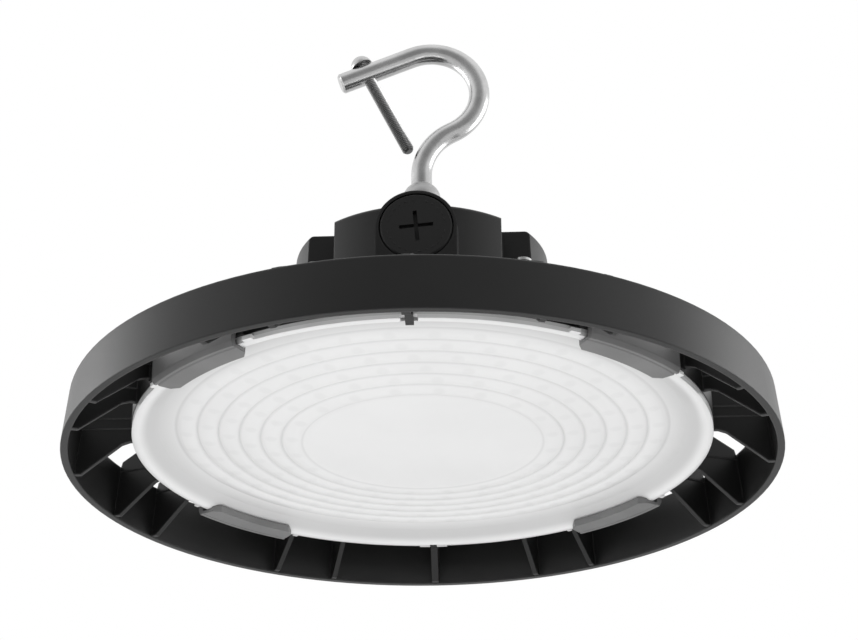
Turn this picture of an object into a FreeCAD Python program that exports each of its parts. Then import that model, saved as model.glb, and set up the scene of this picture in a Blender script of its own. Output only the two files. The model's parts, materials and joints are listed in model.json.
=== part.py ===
import FreeCAD, Part
import math
import os
from FreeCAD import Placement, Rotation, Vector

# High bay light with a hook. Millimetres and degrees, +Z up, seen as it hangs.
# The origin is the centre of the rim's lower edge, on the plane that it can be set down on.

# Gaps between pieces
soft_gap = 0.3          # beside curved and soft neighbours
screw_gap = 0.3         # round a screw in its clearance hole
thread_gap = 0.05       # between a thread and the hole that it is cut in
merge = 1.0             # how far the shapes of one casting run into each other
past = 1.0              # how far a cutter runs on past the surface that it cuts

# Rim
rim_radius = 160.0
rim_height = 24.5
rim_wall = 3.2
rim_taper = 2.2         # how much narrower the rim is at its top
rim_edge_round = 1.1

# Lens
lens_rim_gap = 30.3         # from the lens's edge out to the rim's outside
lens_edge_height = 10.7     # underside of the lens's flat edge
lens_wall = 2.0
lens_edge_width = 2.9
lens_slope_width = 8.0
lens_slope_rise = 4.9
lens_crest_rise = 5.7
ring_count = 6
ring_pitch = 9.4
ring_zone_inset = 19.3      # from the lens's edge in to the rings
ring_fall = 4.2             # how far the ringed zone comes down again
ring_swell = 0.5            # how far each ring stands proud of its grooves
lens_centre_fall = 0.8
lens_key_width = 7.0        # of the slot at the front
lens_key_depth = 8.0
lens_key_round = 1.2
lens_ear_reach = 2.0        # of the two ears at the back and the tabs beside the clips
lens_ear_width = 18.0       # over both ears
lens_ear_slot = 3.5         # between them
lens_ear_slot_depth = 1.9   # in from the lens's edge
lens_tab_span = 2.4         # degrees
lens_tab_gap = 1.0          # degrees from a clip's end to the tab beside it

# Housing
seat_width = 3.4            # the wall round the light pocket
gasket_wall = 1.5
pocket_depth = 11.3         # from the lens's seat up to the base plate
plate_wall = 5.5
key_reach = 6.5             # of the front locating key in from the lens's edge
back_key_reach = 1.5
key_root = 3.4              # how far the keys stand out of the body's wall
clip_seat_wall = 1.7        # pad on the body's wall behind each clip, from rib to rib
rib_wall = 2.4
key_rib_wall = 3.4
rib_foot_height = 0.3       # of the ribs' lowest edge over the rim's
rib_foot_length = 3.0
rib_knee_start = 2.6        # the level lower edge ends this far outside the body's wall
rib_knee_end = 6.3          # and the slope down to the foot starts here
rib_knee_drop = 1.3
rib_ledge_wall = 3.3        # wall of the ribs' upper part
rib_ledge_height = 22.0
cross_ledge_wall = 4.4      # the same of the two ribs in the hook's plane
cross_ledge_height = 26.8
rib_root = 1.4              # how deep the ribs run into the rim's wall
rib_inner_height = 15.9
rib_slope_top = 39.6        # height of the ribs at the body's wall
rib_end_top = 26.8
rib_angle_near = 19.5
rib_angle_far = 30.9
fin_wall = 2.0
fin_end_inset = 6.0         # the short fins stop this far inside the body's wall
collar_wall = 5.0           # ring wall under the driver cover
collar_height = 27.0

# Driver cover
cover_radius = 60.0
cover_taper = 1.2
cover_wall = 3.0
cover_top_height = 103.0
cover_top_wall = 3.5
cover_edge_round = 2.0
cover_gasket_wall = 1.2
screw_circle_radius = 61.4
screw_angle = 40.5          # from the hook's plane
notch_x = 37.5              # walls of the corner notches round the screws
notch_y = 30.7
lug_radius = 5.0
lug_drop = 21.8             # from the cover's top to the screws' seats
tower_base_radius = 17.0
tower_top_radius = 13.0
tower_height = 23.0

# Screws: thread radius, head radius and head height of each size
m3_radius = 1.5
m3_head_radius = 2.75
m3_head_height = 2.0
m4_radius = 2.0
m4_head_radius = 4.0
m4_head_height = 3.2
m4_engagement = 8.6         # of the cover's screws in the housing
m6_radius = 3.0
m6_head_radius = 5.4
m6_head_height = 5.4
m6_length = 55.0
recess_radius = 1.4         # of a cross recess's arms, from the screw's axis
recess_width = 0.9
recess_depth = 1.2
pan_crown = 0.45            # share of a pan head's height that is domed
socket_flats = 1.33         # of a button head's socket, times the thread's radius
socket_floor = 0.4          # share of a button head's height left under its socket
tip_cut = 0.2               # of the thread's radius

# Port at the front, and its plug
port_drop = 13.8            # from the cover's top
port_boss_radius = 18.0
port_face = 63.0            # distance of the boss's face from the axis
port_thread_radius = 13.5
port_lip_radius = 16.5
port_lip_depth = 3.4
plug_radius = 16.1
plug_head_wall = 3.0
plug_thread_length = 7.0
plug_slot_length = 15.0
plug_slot_width = 1.8
plug_slot_depth = 2.2
plug_turn = 5.0
plug_oring_wall = 0.8
plug_edge_cut = 0.4
plug_thread_wall = 2.0

# Cable gland at the back
gland_drop = 19.0           # from the cover's top
gland_boss_radius = 17.0
boss_inset = 11.4           # how far both bosses run in from the cover's inner wall
gland_face = 63.0
gland_thread_radius = 10.0
gland_flange_radius = 13.0
gland_flange_wall = 6.0
gland_neck_radius = 9.6
gland_neck_length = 12.0
gland_nut_radius = 12.5
gland_nut_length = 17.0
gland_bore_radius = 4.5
gland_seal_wall = 2.6
gland_seal_length = 13.0
gland_locknut_radius = 13.5
gland_locknut_wall = 4.0
gland_washer_wall = 1.2
gland_nut_gap = 0.5         # left between the nut and the flange when it is tight
gland_nut_round = 3.75
gland_nut_grip = 10.2       # length of the nut's flats
gland_nut_flats = 23.25
gland_mouth_radius = 5.5
gland_throat_radius = 6.5
gland_seal_gap = 0.1

# Hook
bar_radius = 5.0
bow_radius = 24.0
bow_centre_x = 4.5
bow_centre_z = 197.3
neck_bend_radius = 26.4
arm_drop = 22.4             # slope of the arm, in degrees
arm_length = 38.0
arm_end_round = 0.9
closure_station = 24.2      # of the closure screw, along the arm
closure_lean = 2.8
stem_below_cover = 12.0
hook_collar_radius = 9.2
hook_collar_height = 12.0
hook_nut_flats = 17.0
hook_nut_wall = 8.0
hook_washer_radius = 10.5
hook_washer_wall = 2.0

# Clips that hold the lens
clip_span = 22.4            # degrees
clip_angle_front = 43.5     # of the two front clips, from the port
clip_angle_back = 45.0      # of the two back clips, from the gland
clip_wall = 2.6
clip_lip_wall = 1.6
clip_lip_reach = 7.1        # in under the lens, from its edge
clip_end_rise = 1.8         # of the lip's end, which follows the lens's slope
clip_groove = 0.6           # depth and half width of the groove along the lip
clip_bead = 1.2             # width of the bead outside it
clip_hook_reach = 3.2       # over the base plate
clip_edge_cut = 1.1
clip_corner_cut = 3.0

# Light engine
board_inset = 17.7          # from the lens's edge in to the board's
board_wall = 1.6
led_size = 3.0
led_wall = 0.7
led_spacing = 18.2
board_screw_radius = 50.0
board_screw_count = 6
board_screw_length = 5.0
board_screw_start = 15.0    # angle of the first one
terminal_size = 12.0
terminal_depth = 8.4
terminal_hole_depth = 2.4
terminal_wall = 4.0

# Leads from the driver to the light engine
lead_radius = 1.1
lead_spacing = 5.0
lead_hole_radius = 7.0
grommet_lip = 1.6
grommet_lip_wall = 1.2

# Driver
driver_width = 70.0
driver_depth = 66.0
driver_wall = 1.6
driver_height = 12.0        # over the base plate
standoff_radius = 3.0
standoff_inset = 5.0
driver_screw_length = 6.0
driver_post_bore = 8.0
driver_margin = 4.0         # kept free along the board's edge
driver_spacing = 1.5        # kept free on each side of a component
transformer_size = 26.0
transformer_height = 22.0
coil_share = 0.7            # of the coil's height in the transformer's
capacitor_radius = 8.0
capacitor_height = 30.0
choke_radius = 10.0
choke_hole_radius = 4.0
choke_wall = 9.0
filter_width = 18.0
filter_depth = 8.0
filter_height = 14.0
heat_bar_width = 24.0
heat_bar_wall = 3.0
heat_bar_height = 20.0
terminal_block_width = 16.0
terminal_block_depth = 9.0
terminal_block_height = 10.0
terminal_well_radius = 1.8
socket_width = 12.0
socket_depth = 8.0
socket_height = 8.0
socket_wall = 1.2

# Heights and radii that follow from the sizes above
lens_radius = rim_radius - lens_rim_gap
ring_outer_radius = lens_radius - ring_zone_inset
board_radius = lens_radius - board_inset
lens_edge_top = lens_edge_height + lens_wall
seat_height = lens_edge_top + gasket_wall
plate_bottom = seat_height + pocket_depth
plate_top = plate_bottom + plate_wall
pocket_radius = lens_radius - lens_edge_width - soft_gap
body_radius = pocket_radius + seat_width
clip_seat_radius = body_radius + clip_seat_wall
rim_inner = rim_radius - rim_wall
collar_top = plate_top + collar_height
collar_radius = cover_radius + merge
collar_inner = collar_radius - collar_wall
fin_inner_radius = collar_radius - collar_wall / 2
cover_bottom = collar_top + cover_gasket_wall
cover_inner = cover_radius - cover_wall
cover_ceiling = cover_top_height - cover_top_wall
lug_top_height = cover_top_height - lug_drop
port_height = cover_top_height - port_drop
gland_height = cover_top_height - gland_drop
m4_length = lug_top_height - collar_top + m4_engagement
boss_root = cover_inner - boss_inset
tower_top = cover_top_height + tower_height
board_bottom = plate_bottom - board_wall
driver_bottom = plate_top + driver_height
driver_top = driver_bottom + driver_wall
arm_angle = math.radians(arm_drop)
up = Vector(0, 0, 1)
front = Vector(0, -1, 0)
back = Vector(0, 1, 0)


def rod(radius, start, direction, length):
    return Part.makeCylinder(radius, length, start, direction)


def tube(inner, outer, start, direction, length):
    return rod(outer, start, direction, length).cut(rod(inner, start, direction, length))


def block(width, depth, height, centre_x, centre_y, bottom):
    corner = Vector(centre_x - width / 2, centre_y - depth / 2, bottom)
    return Part.makeBox(width, depth, height, corner)


def hexagon(flats, start, direction, length):
    """A hexagonal prism, by the distance across its flats."""
    corner = flats / math.sqrt(3)
    ring = [Vector(corner * math.cos(math.radians(a)), corner * math.sin(math.radians(a)), 0)
            for a in range(0, 361, 60)]
    prism = Part.Face(Part.makePolygon(ring)).extrude(Vector(0, 0, length))
    prism.Placement = Placement(start, Rotation(up, direction))
    return prism


def turned(shape, angle):
    """A copy turned about the light's own axis."""
    copy = shape.copy()
    copy.rotate(Vector(0, 0, 0), up, angle)
    return copy


def all_round(shape, angles):
    return [turned(shape, angle) for angle in angles]


def flat_outline(points):
    """A face in the XZ plane from its corners, given as (x, z)."""
    corners = [Vector(x, 0, z) for x, z in points]
    return Part.Face(Part.makePolygon(corners + corners[:1]))


def spun(points):
    """A full turn about +Z of an outline of (radius, height) corners."""
    return flat_outline(points).revolve(Vector(0, 0, 0), up, 360)


def sector(points, span):
    """A part turn of the same, centred on +X."""
    return turned(flat_outline(points).revolve(Vector(0, 0, 0), up, span), -span / 2)


def plate(points, wall):
    """An upright plate of an outline, centred on the XZ plane."""
    sheet = flat_outline(points).extrude(Vector(0, wall, 0))
    sheet.translate(Vector(0, -wall / 2, 0))
    return sheet


def joined(shapes):
    whole = shapes[0].fuse(shapes[1:]) if len(shapes) > 1 else shapes[0]
    return whole.removeSplitter()


def circle_edges(shape, height, radius):
    """The round edges about +Z at one height and radius."""
    found = []
    for edge in shape.Edges:
        curve = edge.Curve
        if isinstance(curve, Part.Circle) and abs(curve.Radius - radius) < 1e-3:
            if abs(curve.Center.z - height) < 1e-3:
                found.append(edge)
    return found


def save(name, shape):
    if isinstance(shape, list):
        shape = Part.makeCompound(shape)
    shape.exportStep("parts/" + name + ".step")


def pan_screw(radius, length, head_radius, head_height):
    """A screw with a domed head and a cross recess; its head sits on z = 0, its thread below."""
    crown = head_height * pan_crown
    dome_radius = (head_radius ** 2 + crown ** 2) / (2 * crown)
    shank = rod(radius, Vector(0, 0, -length), up, length)
    head = rod(head_radius, Vector(0, 0, 0), up, head_height)
    dome = Part.makeSphere(dome_radius, Vector(0, 0, head_height - dome_radius))
    screw = shank.fuse(head.common(dome))
    arms = [block(2 * recess_radius, recess_width, recess_depth, 0, 0, head_height - recess_depth),
            block(recess_width, 2 * recess_radius, recess_depth, 0, 0, head_height - recess_depth)]
    return screw.cut(arms[0].fuse(arms[1])).removeSplitter()


def socket_screw(radius, length, head_radius, head_height):
    """A button-head screw with a hexagon socket, placed as pan_screw is."""
    dome_radius = (head_radius ** 2 + head_height ** 2) / (2 * head_height)
    head = rod(head_radius, Vector(0, 0, 0), up, head_height)
    dome = Part.makeSphere(dome_radius, Vector(0, 0, head_height - dome_radius))
    screw = rod(radius, Vector(0, 0, -length), up, length).fuse(head.common(dome))
    socket = hexagon(radius * socket_flats, Vector(0, 0, head_height * socket_floor), up, head_height)
    screw = screw.cut(socket).removeSplitter()
    tip = circle_edges(screw, -length, radius)
    return screw.makeChamfer(radius * tip_cut, tip)


screw_angles = [screw_angle, 180 - screw_angle, 180 + screw_angle, 360 - screw_angle]
rib_angles = []
for quarter in range(0, 360, 90):
    rib_angles += [quarter + rib_angle_near, quarter + rib_angle_far]
    rib_angles += [quarter + 90 - rib_angle_far, quarter + 90 - rib_angle_near]
cross_angles = [0, 180]
front_angle = 270
back_angle = 90
clip_angles = [back_angle - clip_angle_back, back_angle + clip_angle_back,
               front_angle - clip_angle_front, front_angle + clip_angle_front]
key_angles = [front_angle, back_angle]


def fin_angles():
    """The short fins, which stand halfway between the long ones and over the clips."""
    angles = []
    for quarter in range(0, 360, 90):
        clip_gap = 90 - 2 * rib_angle_far
        angles += [quarter + rib_angle_near / 2, quarter + 90 - rib_angle_near / 2]
        angles += [quarter + rib_angle_far + clip_gap * share for share in (0.25, 0.5, 0.75)]
    return angles


def rib_outline():
    """A long fin, with the rib that carries the rim below and outside it."""
    slope = (rib_slope_top - rib_end_top) / (rim_inner - rim_taper - body_radius)
    crest = body_radius - (collar_top - rib_slope_top) / slope
    root = rim_inner + rib_root
    foot = rim_inner - rib_foot_length
    return [(fin_inner_radius, plate_top - merge),
            (body_radius - merge, plate_top - merge),
            (body_radius - merge, rib_inner_height),
            (body_radius + rib_knee_start, rib_inner_height),
            (body_radius + rib_knee_end, rib_inner_height - rib_knee_drop),
            (foot, rib_foot_height),
            (root, rib_foot_height),
            (root - rim_taper, rim_height - rim_edge_round),
            (rim_inner - rim_taper, rim_height - rim_edge_round),
            (rim_inner - rim_taper - merge, rib_end_top),
            (body_radius, rib_slope_top),
            (max(crest, collar_radius + merge), collar_top),
            (fin_inner_radius, collar_top)]


def fin_outline():
    """A short fin, which ends over the base plate."""
    long_fin = rib_outline()
    crest = long_fin[-2][0]
    end = body_radius - fin_end_inset
    end_top = rib_slope_top + (collar_top - rib_slope_top) * fin_end_inset / (body_radius - crest)
    return [(fin_inner_radius, plate_top - merge),
            (end, plate_top - merge),
            (end, plate_top + merge),
            (end - 3 * merge, end_top),
            (crest, collar_top),
            (fin_inner_radius, collar_top)]


def key_outline(reach):
    """The tab under a key rib that lies in the lens's slot, below the gasket."""
    tip = lens_radius - reach
    top = lens_edge_top - soft_gap
    bottom = lens_edge_height + soft_gap
    root = body_radius + key_root
    root_top = rib_inner_height + merge
    heel = lens_radius + soft_gap
    return [(tip, bottom), (root, bottom), (root, root_top), (body_radius - merge, root_top),
            (body_radius - merge, seat_height), (heel, seat_height), (heel, top), (tip, top)]


def ledge(wall, height):
    """The thicker upper part of a rib."""
    above = tube(collar_radius, rim_inner, Vector(0, 0, height), up, collar_top)
    return plate(rib_outline(), wall).common(above)


def housing():
    """The casting: light pocket, base plate, fins, ribs, rim and the ring wall of the driver."""
    bowl = spun([(0, plate_bottom), (pocket_radius, plate_bottom), (pocket_radius, seat_height),
                 (body_radius, seat_height), (body_radius, plate_top), (0, plate_top)])
    rim = spun([(rim_inner, 0), (rim_radius, 0), (rim_radius - rim_taper, rim_height),
                (rim_inner - rim_taper, rim_height)])
    rim = rim.makeFillet(rim_edge_round, circle_edges(rim, rim_height, rim_radius - rim_taper))
    ring_wall = tube(collar_inner, collar_radius, Vector(0, 0, plate_top - merge), up,
                     collar_height + merge)
    lug = rod(lug_radius, Vector(screw_circle_radius, 0, plate_top - merge), up,
              collar_height + merge)
    seat = sector([(body_radius - merge, seat_height), (clip_seat_radius, seat_height),
                   (clip_seat_radius, plate_top), (body_radius - merge, plate_top)],
                  90 - 2 * rib_angle_far)
    core = rod(collar_inner, Vector(0, 0, plate_top), up, collar_height + merge)
    fins = all_round(plate(rib_outline(), rib_wall), rib_angles + cross_angles)
    fins += all_round(plate(rib_outline(), key_rib_wall), key_angles)
    fins += all_round(plate(fin_outline(), fin_wall), fin_angles())
    fins += all_round(ledge(rib_ledge_wall, rib_ledge_height), rib_angles + cross_angles)
    fins += all_round(ledge(cross_ledge_wall, cross_ledge_height), cross_angles)
    keys = [turned(plate(key_outline(key_reach), key_rib_wall), front_angle),
            turned(plate(key_outline(back_key_reach), rib_wall), back_angle)]
    lugs = all_round(lug, screw_angles)
    seats = all_round(seat, [45, 135, 225, 315])
    casting = bowl.fuse([rim, ring_wall] + fins + keys + lugs + seats)
    thread_end = lug_top_height - m4_length - m4_radius
    hole = rod(m4_radius + thread_gap, Vector(screw_circle_radius, 0, thread_end), up, collar_top)
    lead_hole = rod(lead_hole_radius, Vector(0, 0, plate_bottom - merge), up,
                    plate_wall + 2 * merge)
    board_hole = rod(m3_radius + thread_gap, Vector(board_screw_radius, 0, plate_bottom - merge), up,
                     board_screw_length)
    holes = all_round(hole, screw_angles) + all_round(board_hole, board_screw_angles())
    return casting.cut([core, lead_hole] + holes).removeSplitter()


def board_screw_angles():
    return [board_screw_start + 360.0 / board_screw_count * i for i in range(board_screw_count)]


def ring_bottom(radius):
    """Underside of the ringed zone, which falls evenly towards the middle."""
    share = (ring_outer_radius - radius) / (ring_count * ring_pitch)
    return lens_edge_height + lens_crest_rise - ring_fall * share


def lens():
    """One moulding: flat edge, slope, rings and a smooth middle, with a key slot and two ears."""
    inner = lens_radius - lens_edge_width
    slope_end = inner - lens_slope_width
    points = [Vector(lens_radius, 0, lens_edge_height), Vector(inner, 0, lens_edge_height),
              Vector(slope_end, 0, lens_edge_height + lens_slope_rise),
              Vector(ring_outer_radius, 0, ring_bottom(ring_outer_radius))]
    lower = [Part.makeLine(a, b) for a, b in zip(points[:-1], points[1:])]
    for i in range(ring_count):
        start = ring_outer_radius - i * ring_pitch
        end = start - ring_pitch
        middle = Vector((start + end) / 2, 0, ring_bottom((start + end) / 2) - ring_swell)
        arc = Part.Arc(Vector(start, 0, ring_bottom(start)), middle, Vector(end, 0, ring_bottom(end)))
        lower.append(arc.toShape())
    rim_of_middle = ring_outer_radius - ring_count * ring_pitch
    centre = Vector(0, 0, ring_bottom(rim_of_middle) - lens_centre_fall)
    bowl_radius = (rim_of_middle ** 2 + lens_centre_fall ** 2) / (2 * lens_centre_fall)
    half_angle = math.asin(rim_of_middle / bowl_radius) / 2
    half = centre + Vector(bowl_radius * math.sin(half_angle), 0,
                           bowl_radius * (1 - math.cos(half_angle)))
    lower.append(Part.Arc(Vector(rim_of_middle, 0, ring_bottom(rim_of_middle)), half, centre).toShape())
    above = Vector(0, 0, lens_wall)
    top = [centre + above, Vector(rim_of_middle, 0, ring_bottom(rim_of_middle)) + above,
           points[3] + above, points[2] + above,
           Vector(inner - lens_wall / 2, 0, lens_edge_top), Vector(lens_radius, 0, lens_edge_top)]
    upper = [Part.makeLine(a, b) for a, b in zip([centre] + top, top + [points[0]])]
    outline = Part.Wire(Part.__sortEdges__(lower + upper))
    shell = Part.Face(outline).revolve(Vector(0, 0, 0), up, 360)
    slot_height = lens_wall * 4
    slot = block(lens_key_depth * 2, lens_key_width, slot_height, lens_radius, 0,
                 lens_edge_height - lens_wall)
    corners = [e for e in slot.Edges if abs(e.BoundBox.ZLength - slot_height) < 1e-6]
    slot = slot.makeFillet(lens_key_round, corners)
    edge = [(lens_radius - merge, lens_edge_height), (lens_radius + lens_ear_reach, lens_edge_height),
            (lens_radius + lens_ear_reach, lens_edge_top), (lens_radius - merge, lens_edge_top)]
    ears = sector(edge, math.degrees(lens_ear_width / lens_radius))
    ear_slot = block(2 * (lens_ear_reach + lens_ear_slot_depth), lens_ear_slot, slot_height,
                     lens_radius + lens_ear_reach, 0, lens_edge_height - lens_wall)
    tab = sector(edge, lens_tab_span)
    tab_turn = (clip_span + lens_tab_span) / 2 + lens_tab_gap
    tabs = [turned(tab, angle + side * tab_turn) for angle in clip_angles for side in (-1, 1)]
    shell = shell.fuse([turned(ears, back_angle)] + tabs)
    return shell.cut([turned(slot, front_angle), turned(ear_slot, back_angle)]).removeSplitter()


def lens_gasket():
    inner = pocket_radius + soft_gap
    return tube(inner, lens_radius, Vector(0, 0, lens_edge_top), up, gasket_wall)


def clip_outline():
    """Section of a clip: its lip follows the lens's underside and has a groove and a bead below."""
    wall_inner = clip_seat_radius + soft_gap
    wall_outer = wall_inner + clip_wall
    lip_inner = lens_radius - clip_lip_reach
    lip_top = lens_edge_height - soft_gap
    lip_bottom = lip_top - clip_lip_wall
    slope_start = lens_radius - lens_edge_width
    slope_end = slope_start - clip_end_rise * lens_slope_width / lens_slope_rise
    bead_end = wall_outer - clip_edge_cut
    groove_end = bead_end - clip_bead
    hook_bottom = plate_top + soft_gap
    hook_tip = clip_seat_radius - clip_hook_reach - clip_seat_wall
    return [(lip_inner, lip_bottom), (groove_end - 2 * clip_groove, lip_bottom),
            (groove_end - clip_groove, lip_bottom + clip_groove), (groove_end, lip_bottom),
            (bead_end, lip_bottom), (wall_outer, lip_bottom + clip_edge_cut * 2),
            (wall_outer, hook_bottom + clip_wall), (hook_tip, hook_bottom + clip_wall),
            (hook_tip, hook_bottom), (wall_inner, hook_bottom), (wall_inner, lip_top),
            (slope_start, lip_top), (slope_end, lip_top + clip_end_rise),
            (lip_inner, lip_top + clip_end_rise)]


def lens_clip():
    """A clip on +X that hooks over the base plate and reaches in under the lens."""
    clip = sector(clip_outline(), clip_span)
    lip_inner = lens_radius - clip_lip_reach
    near = lip_inner - past
    far = lip_inner + clip_corner_cut + past
    cuts = []
    for side in (-1, 1):
        corners = [Vector(near, -side * (clip_corner_cut + past), 0), Vector(far, side * past, 0),
                   Vector(near, side * past, 0)]
        wedge = Part.Face(Part.makePolygon(corners + corners[:1])).extrude(up * lens_edge_top * 2)
        cuts.append(turned(wedge, side * clip_span / 2))
    return clip.cut(cuts)


def cover_drum(outer, taper, bottom, top):
    return Part.makeCone(outer, outer - taper, top - bottom, Vector(0, 0, bottom), up)


def corner_blocks(inner_x, inner_y, bottom):
    """Four blocks outside inner_x and inner_y, from a height up past the cover's top."""
    size = cover_radius + merge
    return [block(size, size, cover_top_height, sx * (inner_x + size / 2), sy * (inner_y + size / 2),
                  bottom) for sx in (-1, 1) for sy in (-1, 1)]


def driver_cover():
    """The drum over the driver, with its port, cable boss, screw lugs and the tower for the hook."""
    drum = cover_drum(cover_radius, cover_taper, cover_bottom, cover_top_height)
    drum = drum.makeFillet(cover_edge_round,
                           circle_edges(drum, cover_top_height, cover_radius - cover_taper))
    lug = rod(lug_radius, Vector(screw_circle_radius, 0, cover_bottom), up,
              lug_top_height - cover_bottom)
    port_depth = port_face - boss_root
    port = rod(port_boss_radius, front * port_face + up * port_height, back, port_depth)
    port_foot = block(2 * port_boss_radius, port_depth, port_height - cover_bottom, 0,
                      -port_face + port_depth / 2, cover_bottom)
    gland_depth = gland_face - boss_root
    entry = rod(gland_boss_radius, back * gland_face + up * gland_height, front, gland_depth)
    tower = Part.makeCone(tower_base_radius, tower_top_radius, tower_height + cover_top_wall,
                          Vector(0, 0, cover_ceiling), up)
    solid = drum.fuse(all_round(lug, screw_angles) + [port, port_foot, entry, tower])
    solid = solid.cut(corner_blocks(notch_x, notch_y, lug_top_height))
    hollow = cover_drum(cover_inner, cover_taper, cover_bottom - past, cover_ceiling)
    pillar = rod(lug_radius, Vector(screw_circle_radius, 0, cover_bottom - 2 * past), up,
                 cover_top_height)
    steps = corner_blocks(notch_x - cover_wall, notch_y - cover_wall, lug_top_height - cover_wall)
    hollow = hollow.cut(all_round(pillar, screw_angles) + steps + [port, entry])
    holes = all_round(rod(m4_radius + screw_gap, Vector(screw_circle_radius, 0, cover_bottom - past),
                          up, lug_top_height), screw_angles)
    port_axis = front * port_face + up * port_height
    holes.append(rod(port_lip_radius, port_axis, back, port_lip_depth))
    holes.append(rod(port_thread_radius + thread_gap, port_axis, back, port_depth + cover_wall))
    entry_axis = back * gland_face + up * gland_height
    holes.append(rod(gland_thread_radius + thread_gap, entry_axis, front, gland_depth + cover_wall))
    holes.append(rod(bar_radius + thread_gap, Vector(0, 0, cover_ceiling - past), up, tower_height * 2))
    return solid.cut([hollow] + holes).removeSplitter()


def cover_gasket():
    """A flat ring between the ring wall and the cover, with an ear round each screw."""
    ring = tube(cover_inner, cover_radius, Vector(0, 0, collar_top), up, cover_gasket_wall)
    ear = rod(lug_radius, Vector(screw_circle_radius, 0, collar_top), up, cover_gasket_wall)
    core = rod(cover_inner, Vector(0, 0, collar_top), up, cover_gasket_wall)
    hole = rod(m4_radius + screw_gap, Vector(screw_circle_radius, 0, collar_top - past), up,
               cover_gasket_wall + 2 * past)
    sheet = ring.fuse(all_round(ear, screw_angles)).cut(core)
    return sheet.cut(all_round(hole, screw_angles)).removeSplitter()


def cover_screws():
    screw = pan_screw(m4_radius, m4_length, m4_head_radius, m4_head_height)
    screw.translate(Vector(screw_circle_radius, 0, lug_top_height))
    return all_round(screw, screw_angles)


def port_plug():
    """A screwed plug, flush with the boss, with a cross slot to turn it by."""
    seat = -port_face + port_lip_depth
    head_front = seat - plug_oring_wall - plug_head_wall
    axis = Vector(0, 0, port_height)
    head = rod(plug_radius, axis + back * head_front, back, plug_head_wall)
    thread = rod(port_thread_radius, axis + back * (head_front + plug_head_wall), back,
                 plug_thread_length)
    plug = head.fuse(thread)
    front_edge = [e for e in plug.Edges if isinstance(e.Curve, Part.Circle)
                  and abs(e.Curve.Center.y - head_front) < 1e-3]
    plug = plug.makeChamfer(plug_edge_cut, front_edge)
    hollow = rod(port_thread_radius - plug_thread_wall, axis + back * (seat + past), back,
                 plug_thread_length)
    for turn in (0, 90):
        slot = block(plug_slot_length, plug_slot_depth * 2, plug_slot_width, 0, head_front,
                     port_height - plug_slot_width / 2)
        slot.rotate(axis, back, turn + plug_turn)
        plug = plug.cut(slot)
    return plug.cut(hollow).removeSplitter()


def port_oring():
    seat = -port_face + port_lip_depth
    start = Vector(0, seat - plug_oring_wall, port_height)
    return tube(port_thread_radius + soft_gap, plug_radius - soft_gap, start, back, plug_oring_wall)


def cable_gland():
    """The gland's body: flange outside the boss, thread through it and neck for the nut."""
    face = gland_face + gland_washer_wall
    start = Vector(0, face, gland_height)
    flange = hexagon(2 * gland_flange_radius * math.cos(math.radians(30)), start, back,
                     gland_flange_wall)
    neck = rod(gland_neck_radius, start + back * gland_flange_wall, back, gland_neck_length)
    inward = gland_thread_length()
    thread = rod(gland_thread_radius, start, front, inward)
    body = flange.fuse([neck, thread])
    bore = rod(gland_throat_radius, start + front * (inward + past), back,
               inward + past + gland_flange_wall)
    mouth = rod(gland_bore_radius + gland_seal_wall + gland_seal_gap, start + back * gland_flange_wall,
                back, gland_neck_length + past)
    return body.cut([bore, mouth]).removeSplitter()


def gland_thread_length():
    """From the gland's flange in to the far face of the locknut."""
    return gland_washer_wall + gland_face - boss_root + gland_locknut_wall


def gland_washer():
    start = Vector(0, gland_face, gland_height)
    return tube(gland_thread_radius + soft_gap, gland_flange_radius - merge, start, back,
                gland_washer_wall)


def gland_locknut():
    start = Vector(0, boss_root - gland_locknut_wall, gland_height)
    nut = hexagon(2 * gland_locknut_radius * math.cos(math.radians(30)), start, back,
                  gland_locknut_wall)
    return nut.cut(rod(gland_thread_radius + thread_gap, start, back, gland_locknut_wall))


def gland_seal():
    start = Vector(0, gland_face + gland_washer_wall + gland_flange_wall, gland_height)
    return tube(gland_bore_radius, gland_bore_radius + gland_seal_wall, start, back,
                gland_seal_length)


def gland_nut():
    """The domed nut that squeezes the seal; its mouth is a little wider than the seal's bore."""
    foot = gland_face + gland_washer_wall + gland_flange_wall + gland_nut_gap
    start = Vector(0, foot, gland_height)
    shell = rod(gland_nut_radius, start, back, gland_nut_length)
    end = [e for e in shell.Edges if isinstance(e.Curve, Part.Circle)
           and abs(e.Curve.Center.y - start.y - gland_nut_length) < 1e-3]
    shell = shell.makeFillet(gland_nut_round, end)
    grip = hexagon(gland_nut_flats, start, back, gland_nut_grip)
    keep = rod(gland_nut_radius, start + back * gland_nut_grip, back, gland_nut_length)
    shell = shell.common(grip.fuse(keep))
    depth = gland_seal_length - gland_nut_gap
    cavity = rod(gland_neck_radius + thread_gap, start + front * past, back, depth + past)
    mouth = rod(gland_mouth_radius, start, back, gland_nut_length + past)
    return shell.cut([cavity, mouth]).removeSplitter()


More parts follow.
